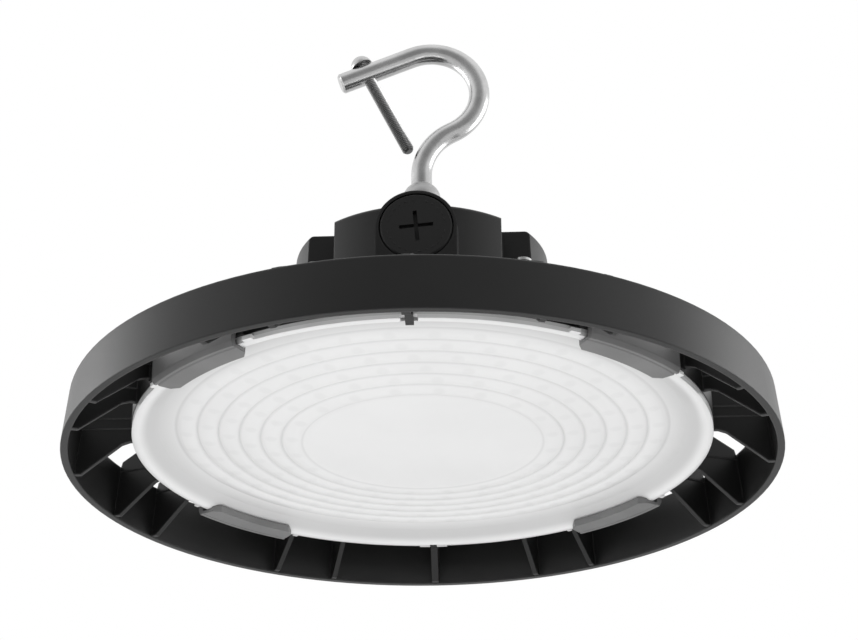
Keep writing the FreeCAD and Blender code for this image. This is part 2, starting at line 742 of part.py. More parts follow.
def hook_route():
    """The bar's centre line: stem, neck bend, bow and arm, in the XZ plane."""
    reach = bow_radius + neck_bend_radius
    offset = neck_bend_radius - bow_centre_x
    neck_z = bow_centre_z - math.sqrt(reach ** 2 - offset ** 2)
    bow = Vector(bow_centre_x, 0, bow_centre_z)
    neck = Vector(neck_bend_radius, 0, neck_z)
    meet = neck + (bow - neck) * (neck_bend_radius / reach)
    start = Vector(0, 0, cover_ceiling - stem_below_cover)
    bend_start = Vector(0, 0, neck_z)
    half_turn = (math.atan2(meet.z - neck.z, meet.x - neck.x) + math.pi) / 2
    bend_middle = neck + Vector(math.cos(half_turn), 0, math.sin(half_turn)) * neck_bend_radius
    arm_start = bow + Vector(-math.sin(arm_angle), 0, math.cos(arm_angle)) * bow_radius
    bow_middle = bow + Vector(bow_radius, 0, 0)
    arm_end = arm_start + arm_direction() * arm_length
    return Part.Wire([Part.makeLine(start, bend_start),
                      Part.Arc(bend_start, bend_middle, meet).toShape(),
                      Part.Arc(meet, bow_middle, arm_start).toShape(),
                      Part.makeLine(arm_start, arm_end)]), arm_start, arm_end


def arm_direction():
    return Vector(-math.cos(arm_angle), 0, -math.sin(arm_angle))


def closure_axis():
    """The middle of the arm's cross hole, and the way that the screw points."""
    route, arm_start, arm_end = hook_route()
    angle = math.radians(arm_drop + closure_lean)
    return arm_start + arm_direction() * closure_station, Vector(math.sin(angle), 0, -math.cos(angle))


def hook():
    route, arm_start, arm_end = hook_route()
    start = Vector(0, 0, cover_ceiling - stem_below_cover)
    section = Part.Wire([Part.makeCircle(bar_radius, start, up)])
    bar = route.makePipeShell([section], True, False)
    ends = [e for e in bar.Edges if isinstance(e.Curve, Part.Circle)
            and abs(e.Curve.Radius - bar_radius) < 1e-3
            and min(e.Curve.Center.distanceToPoint(arm_end), e.Curve.Center.distanceToPoint(start)) < 1e-3]
    bar = bar.makeChamfer(arm_end_round, ends)
    middle, along = closure_axis()
    hole = rod(m6_radius + thread_gap, middle - along * bar_radius * 2, along, bar_radius * 4)
    return bar.cut(hole)


def closure_screw():
    screw = socket_screw(m6_radius, m6_length, m6_head_radius, m6_head_height)
    middle, along = closure_axis()
    screw.Placement = Placement(middle - along * (bar_radius + soft_gap), Rotation(up, -along))
    return screw


def hook_collar():
    """The domed nut that locks the stem on the tower."""
    dome_bottom = tower_top + hook_collar_height
    collar = rod(hook_collar_radius, Vector(0, 0, tower_top), up, hook_collar_height)
    dome = Part.makeSphere(hook_collar_radius, Vector(0, 0, dome_bottom))
    above = rod(hook_collar_radius, Vector(0, 0, dome_bottom), up, hook_collar_radius)
    bore = rod(bar_radius + thread_gap, Vector(0, 0, tower_top - past), up, hook_collar_height * 3)
    return collar.fuse(dome.common(above)).cut(bore).removeSplitter()


def hook_washer():
    start = Vector(0, 0, cover_ceiling - hook_washer_wall)
    return tube(bar_radius + screw_gap, hook_washer_radius, start, up, hook_washer_wall)


def hook_nut():
    start = Vector(0, 0, cover_ceiling - hook_washer_wall - hook_nut_wall)
    nut = hexagon(hook_nut_flats, start, up, hook_nut_wall)
    return nut.cut(rod(bar_radius + thread_gap, start, up, hook_nut_wall))


def led_board():
    disc = rod(board_radius, Vector(0, 0, board_bottom), up, board_wall)
    hole = rod(m3_radius + screw_gap, Vector(board_screw_radius, 0, board_bottom - past), up,
               board_wall + 2 * past)
    lead_holes = lead_bores(board_bottom - past, board_wall + 2 * past)
    return disc.cut(all_round(hole, board_screw_angles()) + lead_holes)


def leds():
    """One row of light-emitting diodes under each ring of the lens."""
    chips = []
    for i in range(ring_count):
        radius = ring_outer_radius - (i + 0.5) * ring_pitch
        count = round(2 * math.pi * radius / led_spacing)
        chip = block(led_size, led_size, led_wall, radius, 0, board_bottom - led_wall)
        chips += all_round(chip, [360.0 / count * k for k in range(count)])
    return chips


def board_screws():
    screw = pan_screw(m3_radius, board_screw_length, m3_head_radius, m3_head_height)
    screw.rotate(Vector(0, 0, 0), Vector(1, 0, 0), 180)
    screw.translate(Vector(board_screw_radius, 0, board_bottom))
    return all_round(screw, board_screw_angles())


def board_terminal():
    """The terminal under the middle of the board, which takes the two leads."""
    body = block(terminal_size, terminal_depth, terminal_wall, 0, 0, board_bottom - terminal_wall)
    return body.cut(lead_bores(board_bottom - terminal_hole_depth, terminal_wall))


def lead_bores(bottom, length):
    """A pair of holes for the two leads."""
    return [rod(lead_radius + soft_gap, Vector(x, 0, bottom), up, length)
            for x in (-lead_spacing / 2, lead_spacing / 2)]


def lead(x):
    """A lead from the driver's board straight down into the light board's terminal."""
    bottom = board_bottom - terminal_hole_depth
    return rod(lead_radius, Vector(x, 0, bottom), up, driver_bottom - bottom)


def lead_grommet():
    """A soft bush in the base plate, with a lip above it."""
    outer = lead_hole_radius - soft_gap
    body = rod(outer, Vector(0, 0, plate_bottom), up, plate_wall)
    lip = rod(lead_hole_radius + grommet_lip, Vector(0, 0, plate_top), up, grommet_lip_wall)
    length = plate_wall + grommet_lip_wall + 2 * past
    return body.fuse(lip).cut(lead_bores(plate_bottom - past, length)).removeSplitter()


def standoff_places():
    x = driver_width / 2 - standoff_inset
    y = driver_depth / 2 - standoff_inset
    return [Vector(sx * x, sy * y, plate_top) for sx in (-1, 1) for sy in (-1, 1)]


def driver_board():
    board = block(driver_width, driver_depth, driver_wall, 0, 0, driver_bottom)
    holes = [rod(m3_radius + screw_gap, place, up, driver_height * 2) for place in standoff_places()]
    return board.cut(holes)


def driver_standoffs():
    posts = []
    for place in standoff_places():
        post = rod(standoff_radius, place, up, driver_height)
        bore_bottom = place + up * (driver_height - driver_post_bore)
        posts.append(post.cut(rod(m3_radius + thread_gap, bore_bottom, up, driver_height)))
    return posts


def driver_screws():
    screw = pan_screw(m3_radius, driver_screw_length, m3_head_radius, m3_head_height)
    screws = []
    for place in standoff_places():
        copy = screw.copy()
        copy.translate(Vector(place.x, place.y, driver_top))
        screws.append(copy)
    return screws


def transformer():
    """A wound core: its coil between two ferrite halves."""
    core = block(transformer_size, transformer_size * 0.5, transformer_height, 0, 0, driver_top)
    foot = transformer_height * (1 - coil_share) / 2
    coil = block(transformer_size * 0.6, transformer_size * 0.95, transformer_height * coil_share, 0, 0,
                 driver_top + foot)
    bobbin = block(transformer_size * 0.7, transformer_size * 0.9, foot, 0, 0, driver_top)
    return joined([core, coil, bobbin])


def capacitors():
    """Two cans side by side at the board's left edge."""
    x = -driver_width / 2 + driver_margin + capacitor_radius
    offset = capacitor_radius + driver_spacing
    cans = []
    for y in (-offset, offset):
        can = rod(capacitor_radius, Vector(x, y, driver_top), up, capacitor_height)
        top = circle_edges(can, driver_top + capacitor_height, capacitor_radius)
        cans.append(can.makeFillet(capacitor_radius / 8, top))
    return cans


def choke():
    x = driver_width / 2 - driver_margin - choke_radius
    y = choke_radius + 2 * driver_spacing
    return tube(choke_hole_radius, choke_radius, Vector(x, y, driver_top), up, choke_wall)


def input_block():
    """The block that the mains cable is clamped in, facing the gland."""
    y = driver_depth / 2 - terminal_block_depth / 2
    body = block(terminal_block_width, terminal_block_depth, terminal_block_height, 0, y, driver_top)
    pitch = terminal_block_width / 3
    well_bottom = driver_top + terminal_block_height * 0.4
    wells = [rod(terminal_well_radius, Vector(x, y, well_bottom), up, terminal_block_height)
             for x in (-pitch, 0, pitch)]
    return body.cut(wells)


def filter_capacitor():
    y = driver_depth / 2 - terminal_block_depth - driver_spacing - filter_depth / 2
    return block(filter_width, filter_depth, filter_height, 0, y, driver_top)


def heat_bar():
    """The bar that the driver's transistors are fixed to."""
    x = driver_width / 2 - 2 * driver_margin
    return block(heat_bar_wall, heat_bar_width, heat_bar_height, x, -heat_bar_width / 2, driver_top)


def port_socket():
    """The small socket behind the front port."""
    y = -driver_depth / 2 + socket_depth / 2
    body = block(socket_width, socket_depth, socket_height, 0, y, driver_top)
    well = block(socket_width - 2 * socket_wall, socket_depth, socket_height - 2 * socket_wall, 0,
                 y - socket_wall, driver_top + socket_wall)
    return body.cut(well)


def main():
    os.makedirs("parts", exist_ok=True)
    save("housing", housing())
    save("driver_cover", driver_cover())
    save("cover_gasket", cover_gasket())
    save("cover_screws", cover_screws())
    save("port_plug", port_plug())
    save("port_oring", port_oring())
    save("cable_gland", cable_gland())
    save("gland_washer", gland_washer())
    save("gland_locknut", gland_locknut())
    save("gland_seal", gland_seal())
    save("gland_nut", gland_nut())
    save("hook", hook())
    save("hook_collar", hook_collar())
    save("hook_washer", hook_washer())
    save("hook_nut", hook_nut())
    save("closure_screw", closure_screw())
    save("lens", lens())
    save("lens_gasket", lens_gasket())
    corners = ["right_back", "left_back", "left_front", "right_front"]
    for corner, angle in zip(corners, clip_angles):
        save("lens_clip_" + corner, turned(lens_clip(), angle))
    save("led_board", led_board())
    save("leds", leds())
    save("board_screws", board_screws())
    save("board_terminal", board_terminal())
    save("lead_positive", lead(lead_spacing / 2))
    save("lead_negative", lead(-lead_spacing / 2))
    save("lead_grommet", lead_grommet())
    save("driver_board", driver_board())
    save("driver_standoffs", driver_standoffs())
    save("driver_screws", driver_screws())
    save("transformer", transformer())
    save("capacitors", capacitors())
    save("choke", choke())
    save("filter_capacitor", filter_capacitor())
    save("heat_bar", heat_bar())
    save("input_block", input_block())
    save("port_socket", port_socket())


main()
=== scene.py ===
import json
import math
import bpy
from mathutils import Matrix, Vector

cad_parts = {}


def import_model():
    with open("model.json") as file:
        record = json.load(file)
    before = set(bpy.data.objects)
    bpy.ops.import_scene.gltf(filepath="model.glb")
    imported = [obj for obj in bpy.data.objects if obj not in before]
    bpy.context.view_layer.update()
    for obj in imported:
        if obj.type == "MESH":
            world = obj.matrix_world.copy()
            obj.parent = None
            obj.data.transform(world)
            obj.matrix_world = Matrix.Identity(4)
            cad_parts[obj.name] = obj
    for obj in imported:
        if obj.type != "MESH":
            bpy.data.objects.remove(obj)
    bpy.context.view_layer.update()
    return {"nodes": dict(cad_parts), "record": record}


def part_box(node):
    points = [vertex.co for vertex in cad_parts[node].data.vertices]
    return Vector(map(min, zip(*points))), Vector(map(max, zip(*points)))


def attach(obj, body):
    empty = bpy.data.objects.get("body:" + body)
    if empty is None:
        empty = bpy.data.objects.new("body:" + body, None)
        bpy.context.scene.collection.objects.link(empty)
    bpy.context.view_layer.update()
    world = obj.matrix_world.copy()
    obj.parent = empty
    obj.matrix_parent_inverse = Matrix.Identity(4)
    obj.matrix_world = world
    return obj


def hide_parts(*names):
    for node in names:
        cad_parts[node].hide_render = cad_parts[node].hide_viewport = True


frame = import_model()
bpy.ops.object.select_all(action="DESELECT")


# ---------------------------------------------------------------- shader maths

class Sock:
    """A shader socket with arithmetic, so that a pattern reads as a formula."""

    def __init__(self, tree, socket):
        self.tree = tree
        self.socket = socket

    def math(self, operation, *others):
        node = self.tree.nodes.new("ShaderNodeMath")
        node.operation = operation
        for slot, value in zip(node.inputs, (self,) + others):
            feed(self.tree, value, slot)
        return Sock(self.tree, node.outputs[0])

    def __add__(self, other): return self.math("ADD", other)
    def __radd__(self, other): return self.math("ADD", other)
    def __sub__(self, other): return self.math("SUBTRACT", other)
    def __rsub__(self, other): return (self * -1.0) + other
    def __mul__(self, other): return self.math("MULTIPLY", other)
    def __rmul__(self, other): return self.math("MULTIPLY", other)
    def __truediv__(self, other): return self.math("DIVIDE", other)
    def __pow__(self, other): return self.math("POWER", other)

    def over(self, low, high):
        """0 below low, 1 above high, smooth between."""
        node = self.tree.nodes.new("ShaderNodeMapRange")
        node.interpolation_type = "SMOOTHSTEP"
        feed(self.tree, self, node.inputs[0])
        node.inputs[1].default_value = low
        node.inputs[2].default_value = high
        return Sock(self.tree, node.outputs[0])


def feed(tree, value, slot):
    """Links a socket to an input, or sets the input to a plain value."""
    if isinstance(value, Sock):
        tree.links.new(value.socket, slot)
    else:
        slot.default_value = value


class Finish:
    """A material with one Principled shader."""

    def __init__(self, name, base=0.8, roughness=0.5, metallic=0.0, **plain):
        self.material = bpy.data.materials.new(name)
        self.material.use_nodes = True
        self.tree = self.material.node_tree
        self.shader = self.tree.nodes["Principled BSDF"]
        self.put("Base Color", colour(base))
        self.put("Roughness", roughness)
        self.put("Metallic", metallic)
        for socket, value in plain.items():
            self.put(socket.replace("_", " "), value)

    def put(self, socket, value):
        feed(self.tree, value, self.shader.inputs[socket])

    def node(self, kind, output=0, settings=(), **inputs):
        """Any other node, its settings and inputs given by name; returns one output."""
        made = self.tree.nodes.new(kind)
        for key, value in dict(settings).items():
            setattr(made, key, value)
        for key, value in inputs.items():
            feed(self.tree, value, made.inputs[key.replace("_", " ")])
        return Sock(self.tree, made.outputs[output])

    def point(self):
        """The point in the light's frame, in metres."""
        return self.node("ShaderNodeTexCoord", output="Object")

    def place(self):
        """The point's x, y and z."""
        split = self.tree.nodes.new("ShaderNodeSeparateXYZ")
        feed(self.tree, self.point(), split.inputs[0])
        return [Sock(self.tree, out) for out in split.outputs]

    def mix(self, share, first, second):
        """A blend of two colours."""
        node = self.tree.nodes.new("ShaderNodeMix")
        node.data_type = "RGBA"
        feed(self.tree, share, node.inputs[0])
        feed(self.tree, first if isinstance(first, Sock) else colour(first), node.inputs[6])
        feed(self.tree, second if isinstance(second, Sock) else colour(second), node.inputs[7])
        return Sock(self.tree, node.outputs[2])

    def relief(self, height, depth, rounding=None):
        """Bumps of a height given in metres, over edges rounded in the shading."""
        inputs = dict(Strength=1.0, Distance=depth, Height=height)
        if rounding:
            inputs["Normal"] = self.node("ShaderNodeBevel", settings={"samples": 4}, Radius=rounding)
        self.put("Normal", self.node("ShaderNodeBump", **inputs))


def colour(value):
    """A grey from one number, or a colour from three."""
    parts = value if isinstance(value, (tuple, list)) else (value,) * 3
    return tuple(parts) + (1.0,)


def grain(finish, scale, detail=3.0):
    """Noise between 0 and 1, which gives a surface its unevenness."""
    return finish.node("ShaderNodeTexNoise", Vector=finish.point(), Scale=scale, Detail=detail)


# ---------------------------------------------------------------- sizes, in metres

bar_radius = 0.005                      # hook
bow_centre = Vector((0.0045, 0, 0.1973))
bow_radius = 0.024
neck_radius = 0.0264                    # of the bend under the bow, on the bar's axis
arm_slope = math.radians(22.4)
arm_length = 0.038
arm_chamfer = 0.0009

screw_radius = 0.003                    # closure screw
screw_pitch = 0.001
screw_root = 0.6 * screw_pitch          # depth of the thread
screw_length = 0.055
screw_place = 0.0242                    # along the arm, from the end of the bow
screw_lean = math.radians(2.8)          # past square to the arm
screw_chamfer = 0.0006
head_radius = 0.0054
head_height = 0.0054
head_clearance = 0.0003                 # from the head to the bar
socket_radius = 0.0023
socket_floor = 0.0014

lens_low, lens_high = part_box("lens")
lens_radius = lens_high.x
lens_edge = lens_low.z                  # height of the lens's lower edge
lens_wall = 0.002
lens_chamfer = 0.0003
lens_slope = [(0.1272, 0.0), (0.1264, 0.0003), (0.1226, 0.0025), (0.118, 0.0049), (0.1112, 0.0056)]
lens_bend = (0.1188, 0.0046)            # softens the slope's bend on the underside
lens_rise = 0.0057                      # from the lower edge to the outermost ring
ring_count = 6
ring_outer = 0.1104
ring_pitch = 0.0094
ring_inner = ring_outer - ring_count * ring_pitch
ring_fall = 0.0042                      # from the outermost ring to the middle
ring_depth = 0.001
middle_depth = 0.0008
pole_share = 0.02                       # of the middle's radius, left as one small face
led_spacing = 0.0182
led_spot = 0.0019
clip_angles = (45.0, 135.0, 226.5, 313.5)
tab_angle = 13.4                        # from a clip's middle to the tab beside it, in degrees
tab_half = 1.3                          # of a tab's span, in degrees
ear_span = (86, 94)                     # of the two ears at the back, in degrees
tab_reach = 0.002
front_slot = (0.007, 0.016, 0.03)       # block that is cut away: width, twice the depth, height
front_slot_round = 0.0012
back_slot = (0.0035, 0.0078, 0.03)

plug_low, plug_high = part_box("port_plug")
plug_radius = (plug_high.x - plug_low.x) / 2
plug_middle = Vector((0, plug_low.y, (plug_low.z + plug_high.z) / 2))
plug_chamfer = 0.0008
plug_rim = 0.0022                       # thickness of the plug's flange
plug_neck = 0.82                        # of the flange's radius
plug_depth = 0.0065
plug_slot = (0.015, 0.0044, 0.0018)
plug_turn = 5.0                         # of the cross slot, in degrees
mark_circle = 0.0128
mark_count = 26
mark_gaps = (0, 6)                      # steps left out of each half circle


# ---------------------------------------------------------------- finishes

def powder_coat():
    """Fine satin powder coat, a little worn to grey where it is thinnest."""
    finish = Finish("satin_black_casting", base=0.008, roughness=0.4, Specular_IOR_Level=0.42)
    broad = grain(finish, 14.0)
    finish.put("Base Color", finish.mix(broad.over(0.3, 0.75), 0.004, 0.008))
    finish.put("Roughness", 0.34 + broad * 0.1)
    finish.relief(grain(finish, 2600.0), 0.00004, rounding=0.0011)
    return finish.material


def black_nylon():
    """Moulded nylon, even and nearly matt."""
    finish = Finish("black_nylon", base=0.014, roughness=0.5, Specular_IOR_Level=0.35)
    finish.put("Roughness", 0.45 + grain(finish, 60.0) * 0.15)
    finish.relief(grain(finish, 3000.0), 0.00003, rounding=0.0003)
    return finish.material


def clip_paint():
    """Grey paint on the lens's clips."""
    finish = Finish("grey_clip_paint", base=0.16, roughness=0.45)
    finish.put("Base Color", finish.mix(grain(finish, 40.0).over(0.3, 0.7), 0.15, 0.18))
    finish.relief(grain(finish, 2600.0), 0.00003, rounding=0.0006)
    return finish.material


def zinc():
    """Bright zinc over a drawn bar: faint cloudiness, small pits and soft scratches."""
    finish = Finish("bright_zinc", base=0.6, roughness=0.24, metallic=1.0)
    cloud = grain(finish, 90.0)
    finish.put("Base Color", finish.mix(cloud.over(0.3, 0.7), 0.54, 0.68))
    finish.put("Roughness", 0.18 + cloud * 0.14)
    finish.relief(grain(finish, 700.0, 6.0), 0.00003)
    return finish.material


def plain(name, base, roughness=0.5, metallic=0.0):
    """A finish with only a faint unevenness in its gloss and its surface."""
    finish = Finish(name, base, roughness, metallic)
    finish.put("Roughness", grain(finish, 120.0) * 0.12 + (roughness - 0.06))
    finish.relief(grain(finish, 1800.0), 0.00002)
    return finish.material


def led_spots(radius, turn):
    """1 over each diode, one row of them under each ring, fading to 0 around it."""
    spots = 0.0
    for row in range(ring_count):
        middle = ring_outer - (row + 0.5) * ring_pitch
        count = round(2 * math.pi * middle / led_spacing)
        step = 2 * math.pi / count
        along = ((turn / step).math("FRACT") - 0.5) * (step * middle / led_spot)
        across = (radius - middle) / led_spot
        spots = (1.0 - (along * along + across * across).over(0.3, 3.5)) + spots
    return spots


def painted_groove_shade(radius):
    """Painted shade in the grooves between the rings: 1 in the groove between two rings, and 0 on the
    rings.
    """
    share = ((ring_outer - radius) / ring_pitch).math("FRACT")
    shade_in_groove = 1.0 - share.math("MINIMUM", 1.0 - share).over(0.0, 0.13)
    inside = radius.over(ring_inner - 0.001, ring_inner + 0.0005)
    return shade_in_groove * inside * (1.0 - radius.over(ring_outer + 0.0006, ring_outer + 0.0016))


def frosted():
    """Frosted cover with faint diodes under it, and painted shade greying the grooves between its rings
    and the sloping zone inside its border.
    """
    finish = Finish("frosted_polycarbonate", base=0.8, roughness=0.32, Coat_Weight=0.15)
    finish.put("Coat Roughness", 0.12)
    x, y = finish.place()[:2]
    radius = (x * x + y * y) ** 0.5
    # painted shade: the sloping zone inside the border, which faces the middle and down, is painted
    # greyer
    slope_shade = radius.over(0.104, 0.1215) * (1.0 - radius.over(0.1225, 0.1268))
    shade = finish.mix(slope_shade * 0.8, 0.8, 0.52)
    # painted shade: the grooves between the rings are painted greyer
    shade = finish.mix(painted_groove_shade(radius) * 0.3, shade, 0.45)
    shade = finish.mix(led_spots(radius, y.math("ARCTAN2", x)) * 0.12, shade, 0.5)
    shade = finish.mix(grain(finish, 22.0).over(0.35, 0.8) * 0.15, shade, 0.6)
    finish.put("Base Color", shade)
    finish.relief(grain(finish, 900.0), 0.00002)
    return finish.material


def steel_with_painted_root_shade():
    """Plated steel with painted shade in the roots of the thread; the ridges of the thread keep the
    steel's own brightness.
    """
    finish = Finish("steel_with_painted_root_shade", base=0.5, roughness=0.34, metallic=1.0)
    x, y, z = finish.place()
    middle, along = screw_line()
    aside = (x - middle.x) * along.z - (z - middle.z) * along.x
    out = (aside * aside + y * y) ** 0.5
    # painted shade: 0 in the thread's roots, which are painted dark, and 1 on the ridges
    unshaded_crest = out.over(screw_radius - screw_root, screw_radius - 0.00005)
    finish.put("Base Color", finish.mix(unshaded_crest, 0.17, 0.6))
    finish.relief(grain(finish, 1800.0), 0.00002)
    return finish.material


slot_finish = {
    "black_casting": powder_coat(),
    "grey_clip": clip_paint(),
    "black_plastic": black_nylon(),
    "zinc_bar": zinc(),
    "satin_nut": plain("satin_silver", 0.5, 0.4, 0.7),
    "steel_screw": plain("plated_steel", 0.6, 0.28, 1.0),
    "frosted_lens": frosted(),
    "silicone": plain("pale_silicone", 0.6, 0.6),
    "black_rubber": plain("black_rubber", 0.02, 0.7),
    "white_board": plain("white_solder_mask", 0.8, 0.4),
    "led_chip": plain("led_package", (0.85, 0.72, 0.3), 0.4),
    "white_plastic": plain("white_nylon", 0.75, 0.5),
    "green_board": plain("green_solder_mask", (0.02, 0.16, 0.06), 0.35),
    "ferrite": plain("ferrite", 0.06, 0.5),
    "capacitor_sleeve": plain("capacitor_sleeve", (0.03, 0.03, 0.06), 0.3),
    "filter_box": plain("filter_box", (0.6, 0.42, 0.05), 0.45),
    "bare_aluminium": plain("bare_aluminium", 0.75, 0.35, 1.0),
    "brass_post": plain("brass", (0.7, 0.5, 0.2), 0.3, 1.0),
    "red_lead": plain("red_sheath", (0.5, 0.03, 0.02), 0.45),
    "black_lead": plain("black_sheath", 0.03, 0.45),
    "green_block": plain("green_nylon", (0.05, 0.3, 0.12), 0.45),
}

slot_of = {part["node"]: part["material_slot"] for part in frame["record"]["subparts"]}
for name, piece in frame["nodes"].items():
    piece.data.materials.clear()
    piece.data.materials.append(slot_finish[slot_of[name]])


# ---------------------------------------------------------------- modelling helpers

def mode(name):
    """Goes to object mode or edit mode."""
    bpy.ops.object.mode_set(mode=name)


def started(name):
    """Names the primitive that was just added and opens it for editing, all selected."""
    piece = bpy.context.object
    piece.name = name
    mode("EDIT")
    bpy.ops.mesh.select_all(action="SELECT")
    return piece


def ring(name, radius, place=(0, 0, 0), sides=64, fill="NOTHING", turn=(0, 0, 0)):
    """A circle to draw a shape from, or a disc where it is filled."""
    bpy.ops.object.select_all(action="DESELECT")
    bpy.ops.mesh.primitive_circle_add(vertices=sides, radius=radius, location=place, rotation=turn,
                                      fill_type=fill)
    bpy.ops.object.transform_apply(location=True, rotation=True, scale=True)
    return started(name)


def bar(name, size, place, turn=(0, 0, 0)):
    """A block with its middle at a place."""
    bpy.ops.object.select_all(action="DESELECT")
    bpy.ops.mesh.primitive_cube_add(size=1.0, location=place, rotation=turn)
    bpy.context.object.scale = size
    bpy.ops.object.transform_apply(location=True, rotation=True, scale=True)
    return started(name)


def pull(offset, kind="extrude_region_move"):
    """Extrudes what is selected by an offset."""
    getattr(bpy.ops.mesh, kind)(TRANSFORM_OT_translate={"value": offset})


def scale(factor, centre):
    """Scales what is selected about a centre, by one factor or by three."""
    factors = factor if isinstance(factor, tuple) else (factor,) * 3
    bpy.ops.transform.resize(value=factors, center_override=centre)


def select_edges(piece, wanted):
    """Selects the edges whose two ends both pass a test of their place."""
    mode("OBJECT")
    mesh = piece.data
    for face in mesh.polygons:
        face.select = False
    for vertex in mesh.vertices:
        vertex.select = False
    for edge in mesh.edges:
        edge.select = all(wanted(mesh.vertices[i].co) for i in edge.vertices)
    mode("EDIT")
    bpy.ops.mesh.select_mode(type="EDGE")


def select_faces(piece, wanted):
    """Selects the faces whose corners all pass a test of their place."""
    select_edges(piece, wanted)
    bpy.ops.mesh.select_mode(type="FACE")


def closed_up(piece):
    """Merges doubles, fills what is open and turns the faces outwards."""
    mode("EDIT")
    bpy.ops.mesh.select_all(action="SELECT")
    bpy.ops.mesh.remove_doubles(threshold=0.000005)
    bpy.ops.mesh.fill_holes(sides=0)
    bpy.ops.mesh.normals_make_consistent(inside=False)
    mode("OBJECT")


def only(piece):
    """Selects one piece alone."""
    mode("OBJECT")
    bpy.ops.object.select_all(action="DESELECT")
    piece.select_set(True)
    bpy.context.view_layer.objects.active = piece


def modified(piece, kind, **settings):
    """Adds a modifier and applies it."""
    only(piece)
    change = piece.modifiers.new(kind.lower(), kind)
    for key, value in settings.items():
        setattr(change, key, value)
    bpy.ops.object.modifier_apply(modifier=change.name)


def cut(piece, tool):
    """Cuts a closed shape out of a piece."""
    mode("OBJECT")
    modified(piece, "BOOLEAN", operation="DIFFERENCE", object=tool, solver="EXACT")
    bpy.data.objects.remove(tool)


def joined(piece, others):
    """Makes several meshes one piece."""
    mode("OBJECT")
    bpy.ops.object.select_all(action="DESELECT")
    for other in others:
        other.select_set(True)
    piece.select_set(True)
    bpy.context.view_layer.objects.active = piece
    bpy.ops.object.join()
    return piece


def finished(piece, node, sharp=35.0, material=None):
    """Smooth faces with sharp corners, its node's finish, and its place on the light."""
    only(piece)
    piece.data.materials.clear()
    piece.data.materials.append(material or slot_finish[slot_of[node]])
    bpy.ops.object.shade_smooth_by_angle(angle=math.radians(sharp))
    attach(piece, "root")
    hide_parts(node)
    bpy.ops.object.select_all(action="DESELECT")
    return piece


# ---------------------------------------------------------------- hook

def arm_direction():
    """The way the arm points, down and outwards."""
    return Vector((-math.cos(arm_slope), 0, -math.sin(arm_slope)))


def arm_start():
    """Where the bow ends and the straight arm starts, on the bar's axis."""
    return bow_centre + Vector((-math.sin(arm_slope), 0, math.cos(arm_slope))) * bow_radius


def hook():
    """One bar: straight stem, neck, bow and arm, with a chamfered end."""
    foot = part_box("hook")[0].z
    across = neck_radius - bow_centre.x
    drop = math.sqrt((bow_radius + neck_radius) ** 2 - across ** 2)
    neck = Vector((neck_radius, 0, bow_centre.z - drop))
    neck_turn = math.atan2(drop, across)
    bow_turn = neck_turn + math.pi / 2 + arm_slope
    piece = ring("hook_bar", bar_radius, (0, 0, foot), sides=40)
    pull((0, 0, neck.z - foot))
    bpy.ops.mesh.spin(steps=16, angle=-neck_turn, center=neck, axis=(0, 1, 0))
    bpy.ops.mesh.spin(steps=44, angle=bow_turn, center=bow_centre, axis=(0, 1, 0))
    pull(arm_direction() * (arm_length - arm_chamfer))
    pull(arm_direction() * arm_chamfer)
    tip = arm_start() + arm_direction() * arm_length
    scale((bar_radius - arm_chamfer) / bar_radius, tip)
    closed_up(piece)
    return finished(piece, "hook", sharp=30.0)


# ---------------------------------------------------------------- closure screw

def screw_line():
    """A point on the closure screw's axis and the way it points."""
    lean = arm_slope + screw_lean
    along = Vector((math.sin(lean), 0, -math.cos(lean)))
    return arm_start() + arm_direction() * screw_place, along


def button_head():
    """A domed head on z = 0 with a six-sided socket."""
    piece = ring("closure_screw_head", head_radius, sides=48, fill="NGON")
    dome = (head_radius ** 2 + head_height ** 2) / (2 * head_height)
    steps = 7
    crown = 0.97 * head_height
    height, width = 0.0, head_radius
    for step in range(1, steps + 1):
        level = crown * step / steps
        radius = math.sqrt(dome ** 2 - (dome - head_height + level) ** 2)
        pull((0, 0, level - height))
        scale((radius / width, radius / width, 1), (0, 0, level))
        height, width = level, radius
    closed_up(piece)
    socket = ring("socket", socket_radius, (0, 0, socket_floor), sides=6, fill="NGON")
    pull((0, 0, head_height))
    closed_up(socket)
    cut(piece, socket)
    return piece


def thread():
    """A vee drawn into a screw thread, with a plain core that ends in a chamfered tip."""
    side = screw_pitch / math.sqrt(3)
    vee = 1.5 * side
    root = screw_radius - vee
    piece = ring("thread", side, (screw_radius - side, 0, 0), sides=3, turn=(math.pi / 2, math.pi / 2, 0))
    select_edges(piece, lambda co: co.x < root + 0.00001)
    bpy.ops.mesh.delete(type="EDGE_FACE")
    bpy.ops.mesh.select_all(action="SELECT")
    scale((screw_root / vee, 1, 1), (screw_radius, 0, 0))
    turns = round(screw_length / screw_pitch) - 1
    modified(piece, "SCREW", axis="Z", screw_offset=-screw_pitch, iterations=turns, steps=20,
             render_steps=20, use_merge_vertices=True, merge_threshold=0.000005)
    closed_up(piece)
    core = ring("core", screw_radius - screw_root, sides=32, fill="NGON")
    pull((0, 0, screw_chamfer - screw_length))
    pull((0, 0, -screw_chamfer))
    scale((0.75, 0.75, 1), (0, 0, -screw_length))
    closed_up(core)
    return joined(piece, [core])


def closure_screw():
    """Head and thread, turned into the arm."""
    middle, along = screw_line()
    piece = joined(button_head(), [thread()])
    piece.name = "closure_screw_body"
    piece.matrix_world = (Matrix.Translation(middle - along * (bar_radius + head_clearance))
                          @ along.to_track_quat("-Z", "Y").to_matrix().to_4x4())
    only(piece)
    bpy.ops.object.transform_apply(location=True, rotation=True, scale=True)
    return finished(piece, "closure_screw", sharp=40.0, material=steel_with_painted_root_shade())


# ---------------------------------------------------------------- lens

